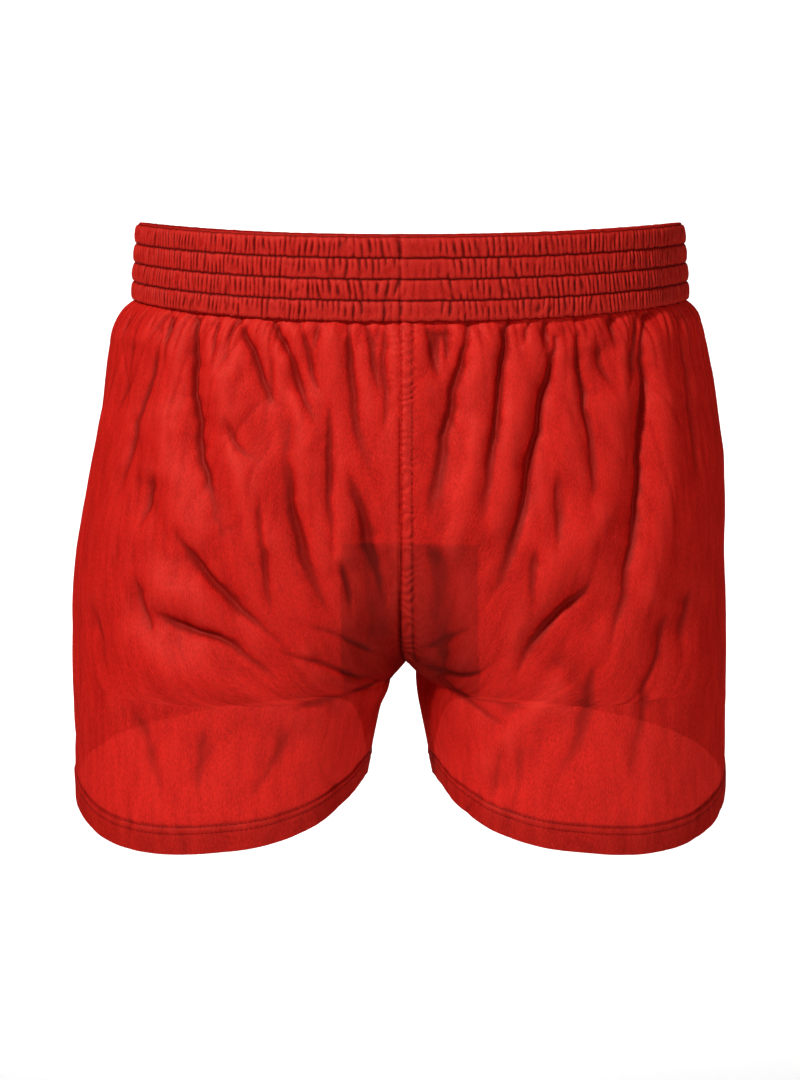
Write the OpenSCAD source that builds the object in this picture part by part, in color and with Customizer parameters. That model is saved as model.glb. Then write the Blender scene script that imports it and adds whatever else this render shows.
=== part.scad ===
// Boxing shorts: elastic waist with four gathered channels, two wide short legs.
// Front faces -Y, +Z is up, +X is the wearer's left. The origin is the middle of the waist opening,
// level with the top of the side seams. Every cloth piece is a thin closed shell over one body shape.

/* [Waist] */
// Width of the relaxed waist, side seam to side seam
waist_w = 291; // [230:1:380]
// Depth of the relaxed waist, front to back
waist_d = 200; // [160:1:260]
// Height of the waistband at the side seams
band_h = 40; // [28:0.5:60]
// How far the waist edge sinks at the middle of the front and back
band_dip = 6.5; // [0:0.5:15]
// Extra width of the waistband's lower edge on each side
band_flare = 3; // [0:0.2:12]
// How far the waist stands off to the wearer's left of the legs
waist_lean = 5.5; // [0:0.5:12]
// How far each elastic channel puffs out
channel_puff = 3; // [1.8:0.1:5]
// Height of one elastic
elastic_h = 8; // [4:0.1:8.6]
// Thickness of one elastic
elastic_t = 1; // [0.6:0.1:1.2]

/* [Hips and legs] */
// Width over the hips
hip_w = 355; // [300:1:430]
// Depth from the side seam to the belly
belly_d = 108; // [90:1:140]
// Depth from the side seam to the seat
seat_d = 120; // [95:1:150]
// Depth from the side seam to the hem, front and back
hem_d = 106; // [80:1:140]
// Crotch height below the waist edge
crotch_drop = 231; // [200:1:250]
// Side seam length, waist edge to hem edge
side_l = 299; // [290:1:420]
// How far the hem slopes down towards the front, in degrees
hem_slope = 12; // [0:0.5:20]
// How far the hem is cut up near the inseam, as a share of the leg below the crotch
hem_rise = 0.22; // [0:0.01:0.3]
// How far the hem hangs down at the middle of each leg, as a share of the leg below the crotch
hem_sag = 0.1; // [0:0.01:0.12]
// How much narrower each side is at the hem than at the hips
hem_taper = 1; // [0:0.5:12]
// Fullness that the gathers add just below the waistband
gather_fullness = 11.5; // [0:0.5:14]
// Half width of the arch between the legs at the crotch
arch_w = 4.5; // [4:0.5:12]
// How fast the inner leg edges part, in mm for each mm of drop
leg_part = 0.2; // [0.05:0.01:0.4]

/* [Cloth] */
// Thickness of one layer of cloth with its puckers
cloth_t = 0.8; // [0.5:0.1:1.2]
// Clearance between layers that lie on each other
layer_gap = 0.7; // [0.6:0.05:1]
// Clearance round an elastic in its channel
casing_gap = 0.3; // [0.2:0.05:0.5]
// Clearance between pieces that meet edge to edge
seam_gap = 0.4; // [0.4:0.1:0.8]
// Height of the turned-up hem
hem_h = 12; // [8:0.5:20]
// Width of the seam allowances inside
allowance_w = 9; // [6:0.5:12]
// Width of the topstitched strip beside the front seam
fly_w = 6; // [4:0.5:10]
// Half width of the crotch lining
gusset_w = 35; // [25:1:45]
// Height of the crotch lining above the crotch
gusset_h = 80; // [40:1:84]
// How far the crotch lining sits towards the wearer's left
gusset_shift = 5; // [0:0.5:8]
// Thickness of a row of stitches
stitch_t = 0.5; // [0.3:0.1:0.8]

/* [Hidden] */

channels = 4;                       // elastic channels in the waistband
corner_power = 2.3;                 // 2 is an ellipse, more is squarer
lean_top = 40;                      // the waist leans as a whole down to here
lean_end = 160;                     // and the lean has gone here
dip_fall = 0.32;                    // share by which the dip grows down the waistband
hip_drop = 190;                     // from the waistband down to the widest place
gather_fade = 8;                    // drop over which the gathers fill out
gather_depth = 0.5;                 // share of their fullness that goes to the front and back
arch_fade = 2;                      // drop over which the crotch arch opens
rise_h = 150;                       // height over which the two legs become one body
rise_power = 1.6;
slope_power = 1.5;                  // the hem's slope comes in over the whole length
rise_place = 4;                     // the hem is highest a fifth of the way from the inseam
sag_power = 1.4;                    // over 1, so that the hem hangs lowest past the middle of the leg
row_gap = 12;                       // greatest height between two rows of a panel below the crotch
puff_power = 0.7;                   // under 1, so that the channels are full and their valleys sharp
hem_rows = 2.6;                     // between the two rows of hem stitching
facing_limit = 0.35;                // the lining's depth is reckoned on a face no steeper than this
outer_layer = 0;
inner_layer = -(cloth_t + layer_gap);
rise_layer = inner_layer - layer_gap / 2;     // the rise curves hard, so its layers lie looser
third_layer = 2 * inner_layer - layer_gap;
casing_room = elastic_t + 2 * casing_gap;
stitch_gap = 0.05;                  // a stitch row lies this far off the cloth
RIGHT = -1;
LEFT = 1;
FRONT = -1;
BACK = 1;
red = "#b51d17";
dark_red = "#8f120e";
thread_red = "#9d1813";
elastic_white = "#e9e4da";

// ---- body shape ----

function ramp(a, b, t) = let (s = min(1, max(0, (t - a) / (b - a)))) s * s * (3 - 2 * s);
function mix(a, b, t) = a + (b - a) * t;
function power(v, p) = sign(v) * pow(abs(v), p);

// outer half width on one side at a height z0 (0 is the waist edge, down is negative)
function half_w(side, z0) =
  let (
    drop = max(0, -z0 - band_h),
    band = waist_w / 2 + band_flare * min(1, -z0 / band_h),
    hip = hip_w / 2 - waist_w / 2 - band_flare - gather_fullness
  )
  band + gather_fullness * (1 - exp(-drop / gather_fade)) + hip * sin(90 * min(1, drop / hip_drop))
  - hem_taper * ramp(band_h + hip_drop, side_l, -z0)
  + side * waist_lean * (1 - ramp(lean_top, lean_end, -z0));

// outer half depth of the front or the back
function half_d(face, z0) =
  let (
    drop = max(0, -z0 - band_h),
    full = face == FRONT ? belly_d : seat_d,
    upper = mix(waist_d / 2, full, ramp(0, hip_drop, -z0)),
    fullness = gather_depth * gather_fullness * (1 - exp(-drop / gather_fade)),
    gathered = fullness * (1 - ramp(0, hip_drop, drop))
  )
  mix(upper + gathered, hem_d, ramp(band_h + hip_drop / 2, side_l, -z0));

// how far the two leg lobes are joined: 1 at the crotch, 0 in one round body
function lobe(z0) = z0 <= -crotch_drop ? 1 : pow(max(0, 1 - (z0 + crotch_drop) / rise_h), rise_power);
function inner_gap(z0) =
  let (drop = max(0, -z0 - crotch_drop)) arch_w * (1 - exp(-drop / arch_fade)) + leg_part * drop;
function lobe_half(side, z0) = half_w(side, z0) / (1 + lobe(z0));
function lobe_mid(side, z0) = half_w(side, z0) - lobe_half(side, z0);
function start_angle(side, z0) =
  z0 <= -crotch_drop ? 0
  : acos(pow(min(1, lobe_mid(side, z0) / lobe_half(side, z0)), corner_power / 2));

// the hem's cut on one leg: up near the inseam and down over the rest, level at both seams
function hem_cut(u) =
  let (peak = pow(rise_place / (rise_place + 1), rise_place) / (rise_place + 1))
  (side_l - crotch_drop) * (hem_rise * u * pow(1 - u, rise_place) / peak - hem_sag * sin(180 * pow(u, sag_power)));

// vertical shift: the waist sinks at front and back, the hem is cut in a curve and slopes to the front
function settle(face, u, y, z0) =
  let (
    share = min(1, abs(y) / half_d(face, z0)),
    dip = -band_dip * (1 + dip_fall * min(1, -z0 / band_h)) * share * share
  )
  dip * (1 - ramp(band_h, crotch_drop, -z0))
  + hem_cut(u) * ramp(crotch_drop, side_l, -z0)
  + y * tan(hem_slope) * pow(max(0, -z0 / side_l), slope_power);

// plan position: u is 0 at the centre seam or inseam and 1 at the side seam
function plan(side, face, u, z0) =
  let (
    first = start_angle(side, z0),
    a = first + (180 - first) * u,
    x = lobe_mid(side, z0) - lobe_half(side, z0) * power(cos(a), 2 / corner_power)
      + inner_gap(z0) * pow(max(0, cos(a)), 2),
    y = half_d(face, z0) * power(abs(sin(a)), 2 / corner_power)
  )
  [side * (seam_gap / 4 + x), face * (seam_gap / 2 + y)];

function outward(side, face, u, z0) =
  let (
    e = 0.004,
    t = plan(side, face, min(1, u + e), z0) - plan(side, face, max(0, u - e), z0),
    n = [t[1], -t[0]] / norm(t)
  )
  side * face > 0 ? -n : n;

// a point on the body, off is how far it stands outside it
function spot(side, face, u, z0, off = 0) =
  let (
    p = plan(side, face, u, z0) + off * outward(side, face, u, z0),
    y = face * max(seam_gap / 2, face * p[1])
  )
  [side * max(seam_gap / 4, side * p[0]), y, z0 + settle(face, u, y, z0)];

// u of the place x from the centre, and of the place y from a side seam or inseam
function u_at_x(side, x, z0) =
  let (
    first = start_angle(side, z0),
    c = (lobe_mid(side, z0) - x) / lobe_half(side, z0)
  )
  max(0, (acos(max(-1, min(1, power(c, corner_power / 2)))) - first) / (180 - first));
function u_from_side(side, face, y, z0) =
  1 - asin(pow(y / half_d(face, z0), corner_power / 2)) / (180 - start_angle(side, z0));
function u_from_inseam(face, y, z0) = asin(pow(y / half_d(face, z0), corner_power / 2)) / 180;

// ---- building blocks ----

function steps(n) = [for (i = [0:n]) i / n];
function flat(grid) = [for (row = grid) for (p = row) p];

// a closed shell between two grids of points with the same rows and columns
module shell(a, b) {
  rows = len(a);
  cols = len(a[0]);
  far = rows * cols;
  faces = concat(
    [for (i = [0:rows - 2]) for (j = [0:cols - 2]) let (p = i * cols + j)
      each [[p, p + 1, p + cols], [p + 1, p + cols + 1, p + cols]]],
    [for (i = [0:rows - 2]) for (j = [0:cols - 2]) let (p = far + i * cols + j)
      each [[p, p + cols, p + 1], [p + 1, p + cols, p + cols + 1]]],
    [for (j = [0:cols - 2]) let (p = j)
      each [[p, p + far, p + 1], [p + 1, p + far, p + far + 1]]],
    [for (j = [0:cols - 2]) let (p = (rows - 1) * cols + j)
      each [[p, p + 1, p + far], [p + 1, p + far + 1, p + far]]],
    [for (i = [0:rows - 2]) let (p = i * cols)
      each [[p, p + cols, p + far], [p + cols, p + far + cols, p + far]]],
    [for (i = [0:rows - 2]) let (p = i * cols + cols - 1)
      each [[p, p + far, p + cols], [p + cols, p + far, p + far + cols]]]
  );
  polyhedron(points = concat(flat(a), flat(b)), faces = faces);
}

// turns the shell the right way out on all four quarters of the body
module cloth(turned, outer, inner) {
  if (turned) shell(outer, inner);
  else shell(inner, outer);
}

// close together under the waistband and at the crotch, where the shape turns fastest,
// then evenly down to the hem stitching, and over the hem as the hem's own rows
function hem_heights() = [hem_h - side_l, hem_h / 2 - side_l, -side_l];
function panel_rows() = concat(
  [for (s = steps(20)) mix(-band_h, -crotch_drop, (1 - cos(180 * s)) / 2)],
  [for (s = steps(ceil((side_l - hem_h - crotch_drop) / row_gap))) if (s > 0 && s < 1)
    mix(-crotch_drop, hem_h - side_l, s)],
  hem_heights()
);

// a top row and then the panel's own rows down to a height, so that inner layers follow the panel
function rows_between(high, low) =
  concat([high], [for (z0 = panel_rows()) if (z0 < high - 1 && z0 >= low) z0]);

module panel(side, face) {
  function grid(off) = [for (z0 = panel_rows()) [for (u = steps(16)) spot(side, face, u, z0, off)]];
  cloth(side * face < 0, grid(outer_layer), grid(outer_layer - cloth_t));
}

// height in the waistband, counted in channels from its lower seam
function casing_z(count) = mix(-band_h + seam_gap, -cloth_t, count / channels);

// the casing's section: up the puffed outer wall, over the fold and down the inner wall
function casing_line() = concat(
  [for (i = [0:4 * channels])
    [channel_puff * pow(abs(sin(45 * i)), puff_power), casing_z(i / 4)]],
  [[-casing_room / 2, casing_z(channels) + cloth_t / 4]],
  [for (s = steps(6)) [-casing_room - cloth_t, casing_z(channels * (1 - s))]]
);

module waistband(side, face) {
  line = casing_line();
  last = len(line) - 1;
  function run(i) =
    let (d = line[min(last, i + 1)] - line[max(0, i - 1)]) [-d[1], d[0]] / norm(d);
  function grid(depth) = [
    for (i = [0:last]) let (p = line[i] - depth * run(i))
      [for (u = steps(20)) spot(side, face, u, min(0, p[1]), p[0])]
  ];
  cloth(side * face > 0, grid(cloth_t / 2), grid(-cloth_t / 2));
}

// a closed band round the whole body between two heights and two depths
module ring(low, high, inside, outside) {
  path = concat(
    [for (u = steps(16)) [RIGHT, FRONT, 1 - u]],
    [for (u = steps(16)) if (u > 0) [LEFT, FRONT, u]],
    [for (u = steps(16)) [LEFT, BACK, 1 - u]],
    [for (u = steps(16)) if (u > 0) [RIGHT, BACK, u]]
  );
  n = len(path);
  corners = [[low, outside], [high, outside], [high, inside], [low, inside]];
  points = [for (q = path) for (c = corners) spot(q[0], q[1], q[2], c[0], c[1])];
  faces = [for (i = [0:n - 1]) for (k = [0:3])
    let (
      here = 4 * i,
      next = 4 * ((i + 1) % n),
      side = (k + 1) % 4
    )
    each [[here + k, here + side, next + k], [here + side, next + side, next + k]]];
  polyhedron(points = points, faces = faces);
}

module elastic(number) {
  middle = casing_z(channels - number + 0.5);
  color(elastic_white)
    ring(middle - elastic_h / 2, middle + elastic_h / 2, -casing_room, -casing_room + elastic_t);
}

module hem(side, face) {
  function grid(off) = [
    for (z0 = hem_heights())
      [for (u = steps(16)) spot(side, face, u, z0, off)]
  ];
  cloth(side * face < 0, grid(inner_layer), grid(inner_layer - cloth_t));
}

// a row of stitches lying on the cloth from the inseam or centre to the side seam
module stitch_row(side, face, z0, off) {
  function grid(o) = [
    for (z = [z0 + stitch_t / 2, z0 - stitch_t / 2])
      [for (u = steps(16)) spot(side, face, u, z, o)]
  ];
  cloth(side * face < 0, grid(off + stitch_t), grid(off + stitch_gap));
}

module hem_stitching(side, face) {
  color(thread_red)
    for (up = [hem_h, hem_h - hem_rows])
      stitch_row(side, face, -side_l + up, outer_layer);
}

module waist_stitching(face) {
  color(thread_red)
    for (side = [RIGHT, LEFT])
      for (i = [0:channels - 1])
        stitch_row(side, face, casing_z(i), cloth_t + stitch_t / 2);
}

// a strip down the body between two u values that may change with height
module strip(side, face, heights, first, last, cols, layer) {
  function grid(off) = [for (z0 = heights) [for (s = steps(cols))
    spot(side, face, mix(first(z0), last(z0), s), z0, off)]];
  cloth(side * face < 0, grid(layer), grid(layer - cloth_t));
}

// ---- the pieces ----

module front_panel_right() { color(red) panel(RIGHT, FRONT); }
module front_panel_left() { color(red) panel(LEFT, FRONT); }
module back_panel_right() { color(red) panel(RIGHT, BACK); }
module back_panel_left() { color(red) panel(LEFT, BACK); }
module waistband_front_right() { color(red) waistband(RIGHT, FRONT); }
module waistband_front_left() { color(red) waistband(LEFT, FRONT); }
module waistband_back_right() { color(red) waistband(RIGHT, BACK); }
module waistband_back_left() { color(red) waistband(LEFT, BACK); }
module hem_front_right() { color(dark_red) hem(RIGHT, FRONT); }
module hem_front_left() { color(dark_red) hem(LEFT, FRONT); }
module hem_back_right() { color(dark_red) hem(RIGHT, BACK); }
module hem_back_left() { color(dark_red) hem(LEFT, BACK); }

rise_rows = rows_between(-band_h - 2, -crotch_drop + 16);

module fly_strip() {
  color(dark_red)
    strip(LEFT, FRONT, rise_rows, function(z0) u_at_x(LEFT, 0, z0),
          function(z0) u_at_x(LEFT, fly_w, z0), 2, rise_layer);
}

module back_seam_allowance() {
  color(dark_red)
    strip(RIGHT, BACK, rise_rows, function(z0) u_at_x(RIGHT, 0, z0),
          function(z0) u_at_x(RIGHT, allowance_w, z0), 2, rise_layer);
}

// the lining runs across the front seam, under the fly strip
module crotch_lining() {
  heights = rows_between(-crotch_drop + gusset_h, -crotch_drop + 6);
  function place(x, z0, depth) =
    let (
      side = x < 0 ? RIGHT : LEFT,
      u = u_at_x(side, abs(x), z0),
      p = spot(side, FRONT, u, z0),
      facing = max(facing_limit, abs(outward(side, FRONT, u, z0)[1]))
    )
    [x, p[1] + depth / facing, p[2]];
  function grid(depth) = [for (z0 = heights) [for (s = steps(16))
    place(mix(-gusset_w, gusset_w, s) + gusset_shift, z0, depth)]];
  color(dark_red)
    shell(grid(-third_layer), grid(cloth_t - third_layer));
}

module side_seam_allowance(side) {
  heights = rows_between(-band_h - 2, -side_l + hem_h + 2);
  color(dark_red)
    strip(side, BACK, heights, function(z0) u_from_side(side, BACK, allowance_w, z0),
          function(z0) 1, 2, inner_layer);
}
module side_seam_allowance_right() { side_seam_allowance(RIGHT); }
module side_seam_allowance_left() { side_seam_allowance(LEFT); }

module inseam_allowance(side) {
  heights = rows_between(-crotch_drop - 4, -side_l + hem_h + 2);
  color(dark_red)
    strip(side, BACK, heights, function(z0) 0,
          function(z0) u_from_inseam(BACK, allowance_w, z0), 2, inner_layer);
}
module inseam_allowance_right() { inseam_allowance(RIGHT); }
module inseam_allowance_left() { inseam_allowance(LEFT); }

module waist_stitching_front() { waist_stitching(FRONT); }
module waist_stitching_back() { waist_stitching(BACK); }
module hem_stitching_front_right() { hem_stitching(RIGHT, FRONT); }
module hem_stitching_front_left() { hem_stitching(LEFT, FRONT); }
module hem_stitching_back_right() { hem_stitching(RIGHT, BACK); }
module hem_stitching_back_left() { hem_stitching(LEFT, BACK); }

module fly_stitching() {
  module row(x) {
    function grid(off) = [for (z0 = rise_rows) [for (s = [-1, 1])
      spot(LEFT, FRONT, u_at_x(LEFT, x + s * stitch_t / 2, z0), z0, off)]];
    cloth(true, grid(outer_layer + stitch_t), grid(outer_layer + stitch_gap));
  }
  color(thread_red)
    for (x = [stitch_t, fly_w - stitch_t])
      row(x);
}

module elastic_1() { elastic(1); }
module elastic_2() { elastic(2); }
module elastic_3() { elastic(3); }
module elastic_4() { elastic(4); }

front_panel_right();
front_panel_left();
back_panel_right();
back_panel_left();
waistband_front_right();
waistband_front_left();
waistband_back_right();
waistband_back_left();
elastic_1();
elastic_2();
elastic_3();
elastic_4();
hem_front_right();
hem_front_left();
hem_back_right();
hem_back_left();
fly_strip();
crotch_lining();
back_seam_allowance();
side_seam_allowance_right();
side_seam_allowance_left();
inseam_allowance_right();
inseam_allowance_left();
waist_stitching_front();
waist_stitching_back();
hem_stitching_front_right();
hem_stitching_front_left();
hem_stitching_back_right();
hem_stitching_back_left();
fly_stitching();
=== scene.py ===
import math

import bpy
import numpy as np
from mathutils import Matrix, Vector


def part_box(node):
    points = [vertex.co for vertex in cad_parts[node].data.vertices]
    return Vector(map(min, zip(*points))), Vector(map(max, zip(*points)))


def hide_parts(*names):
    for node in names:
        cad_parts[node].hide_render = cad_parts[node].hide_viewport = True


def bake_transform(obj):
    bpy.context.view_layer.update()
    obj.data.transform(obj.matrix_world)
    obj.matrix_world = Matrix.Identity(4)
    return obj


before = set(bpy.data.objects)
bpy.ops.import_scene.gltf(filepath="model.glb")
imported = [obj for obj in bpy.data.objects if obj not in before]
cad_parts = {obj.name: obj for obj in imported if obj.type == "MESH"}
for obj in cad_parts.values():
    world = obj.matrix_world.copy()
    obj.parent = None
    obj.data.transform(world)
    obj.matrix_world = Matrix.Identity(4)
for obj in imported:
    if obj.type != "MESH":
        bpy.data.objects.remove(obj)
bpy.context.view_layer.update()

# Boxing shorts in thin polyester satin, gathered on four elastics and worn by an unseen form.
# Lengths are in metres. Front faces -Y, +X is the wearer's left, z = 0 is the waist edge at the sides.

MM = 0.001
RIGHT, LEFT = -1, 1
FRONT, BACK = -1, 1
SIDES = {RIGHT: "right", LEFT: "left"}
FACES = {FRONT: "front", BACK: "back"}

# ---- sizes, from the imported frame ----

waist_box = {side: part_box(f"waistband_front_{SIDES[side]}") for side in SIDES}
puff_room = 3.4 * MM
waist_right = -waist_box[RIGHT][0][0] - puff_room
waist_left = waist_box[LEFT][1][0] - puff_room
waist_half = (waist_right + waist_left) / 2
waist_lean = (waist_left - waist_right) / 2
band_flare = 3 * MM
waist_half -= band_flare
waist_depth = waist_box[LEFT][0][1] * -1 - 4.4 * MM
band_h = -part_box("front_panel_left")[1][2]
side_l = -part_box("back_panel_left")[0][2]
hip_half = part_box("front_panel_left")[1][0]
belly_d = -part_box("front_panel_left")[0][1]
seat_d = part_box("back_panel_left")[1][1]
hem_d = -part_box("hem_front_left")[0][1] + 0.8 * MM
crotch = -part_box("inseam_allowance_left")[1][2] - 2.6 * MM
hem_h = 12 * MM
fly_w = 6 * MM
lining_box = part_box("crotch_lining")
lining_w = (lining_box[1][0] - lining_box[0][0]) / 2
lining_shift = (lining_box[1][0] + lining_box[0][0]) / 2
lining_h = 80 * MM
gather_fullness = 11.5 * MM
gather_fade = 8 * MM
hip_drop = 190 * MM
hem_taper = 1 * MM
hem_rise = 0.22
hem_sag = 0.10
rise_h = 150 * MM
arch_w = 4.6 * MM
arch_fade = 1.2 * MM
leg_part = 0.2
crotch_pull = 3.6 * MM
corner_power = 2.3
band_dip = 6.5 * MM
channels = 4


def ramp(a, b, t):
    s = np.clip((t - a) / (b - a), 0, 1)
    return s * s * (3 - 2 * s)


def mix(a, b, t):
    return a + (b - a) * t


def power(v, p):
    return np.sign(v) * np.abs(v) ** p


# ---- the smooth body under the cloth ----

def half_w(side, z0):
    drop = np.maximum(0, -z0 - band_h)
    band = waist_half + band_flare * np.minimum(1, -z0 / band_h)
    hip = hip_half - waist_half - band_flare - gather_fullness
    lean = side * waist_lean * (1 - 0.36 * ramp(0.040, 0.062, -z0) - 0.64 * ramp(0.110, 0.185, -z0))
    lean = lean - 1.4 * MM * ramp(0.045, 0.070, -z0) * (1 - ramp(0.090, 0.130, -z0))
    widening = gather_fullness * (1 - np.exp(-drop / gather_fade))
    widening += hip * np.sin(math.pi / 2 * np.minimum(1, drop / hip_drop))
    return band + widening - hem_taper * ramp(band_h + hip_drop, side_l, -z0) + lean


def half_d(face, z0):
    drop = np.maximum(0, -z0 - band_h)
    full = belly_d if face == FRONT else seat_d
    upper = mix(waist_depth, full, ramp(0, hip_drop, -z0))
    gathered = 0.5 * gather_fullness * (1 - np.exp(-drop / gather_fade)) * (1 - ramp(0, hip_drop, drop))
    return mix(upper + gathered, hem_d, ramp(band_h + hip_drop / 2, side_l, -z0))


def plan(side, face, u, z0):
    """Plan position and outward direction: u is 0 at the centre seam or inseam, 1 at the side seam."""
    lobe = np.where(z0 <= -crotch, 1, np.clip(1 - (z0 + crotch) / rise_h, 0, 1) ** 1.6)
    w = half_w(side, z0)
    a_half = w / (1 + lobe)
    middle = w - a_half
    first = np.arccos(np.clip(middle / a_half, 0, 1) ** (corner_power / 2))
    drop = np.maximum(0, -z0 - crotch)
    gap = arch_w * (1 - np.exp(-drop / arch_fade)) + leg_part * drop

    def at(a):
        x = middle - a_half * power(np.cos(a), 2 / corner_power) + gap * np.maximum(0, np.cos(a)) ** 2
        return x, half_d(face, z0) * np.abs(np.sin(a)) ** (2 / corner_power)

    a = first + (math.pi - first) * u
    x, y = at(a)
    e = 0.012
    x1, y1 = at(np.minimum(math.pi, a + e))
    x0, y0 = at(np.maximum(first, a - e))
    tx, ty = x1 - x0, y1 - y0
    size = np.hypot(tx, ty) + 1e-12
    nx, ny = -ty / size, tx / size
    seam_pull = np.where(z0 > -crotch, ramp(0, 0.10, u), 1)
    return side * x, face * y, side * nx * seam_pull, face * ny


def settle(face, u, y, z0):
    """How far a point hangs from its row: the waist dips, the hem is cut in a curve and slopes."""
    share = np.minimum(1, np.abs(y) / half_d(face, z0))
    dip = -band_dip * (1 + 0.32 * np.minimum(1, -z0 / band_h)) * share**2
    peak = 0.8**4 / 5
    cut = (side_l - crotch) * (hem_rise * u * (1 - u) ** 4 / peak - hem_sag * np.sin(math.pi * u**1.4))
    slope = math.tan(math.radians(12))
    dip = dip * (1 - ramp(band_h, crotch, -z0)) + cut * ramp(crotch, side_l, -z0)
    return dip + y * slope * np.maximum(0, -z0 / side_l) ** 1.5


quarter = 0.5 * math.pi * math.sqrt((waist_half**2 + waist_depth**2) / 2)


def around(side, face, u):
    """Distance along the waist from the front centre, signed, the same on both sides of a seam."""
    return side * quarter * (u if face == FRONT else 2 - u)


# ---- noise, the same on every run ----

def noise2(x, y, seed, period=None):
    """Gradient noise on a unit lattice, from about -1 to 1, repeating after period cells along x."""
    period = period or 256
    angle = np.random.default_rng(seed).uniform(0, 2 * math.pi, (period, 64))
    gx, gy = np.cos(angle), np.sin(angle)
    xi, yi = np.floor(x).astype(int), np.floor(y).astype(int)
    fx, fy = x - xi, y - yi
    x0, x1, y0, y1 = xi % period, (xi + 1) % period, yi % 64, (yi + 1) % 64
    sx, sy = fx**3 * (fx * (fx * 6 - 15) + 10), fy**3 * (fy * (fy * 6 - 15) + 10)
    low = mix(gx[x0, y0] * fx + gy[x0, y0] * fy, gx[x1, y0] * (fx - 1) + gy[x1, y0] * fy, sx)
    high = mix(gx[x0, y1] * fx + gy[x0, y1] * (fy - 1), gx[x1, y1] * (fx - 1) + gy[x1, y1] * (fy - 1), sx)
    return 1.7 * mix(low, high, sy)


def ring_noise(t, cell, y, seed):
    """Noise along the waist that meets itself at the back centre."""
    count = max(3, round(4 * quarter / cell))
    return noise2(t / (4 * quarter) * count, y, seed, count)


# ---- folds, drawn as the eye sees them from straight in front or behind ----

eye_distance = 1.70                     # from the plane of the side seams, at the height of the waist edge
looks_down_to = 0.1712                  # the eye looks at a point this far under the waist edge


def seen(face, x, y, z):
    """Where a point appears on the plane of the side seams, from in front or from behind."""
    away = eye_distance - face * y if face == BACK else eye_distance + y
    tilt = math.atan(looks_down_to / eye_distance)
    reach = math.hypot(eye_distance, looks_down_to)
    deep = away * math.cos(tilt) - z * math.sin(tilt)
    high = away * math.sin(tilt) + z * math.cos(tilt)
    return x / deep * reach, high / deep * reach - 0.172


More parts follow.
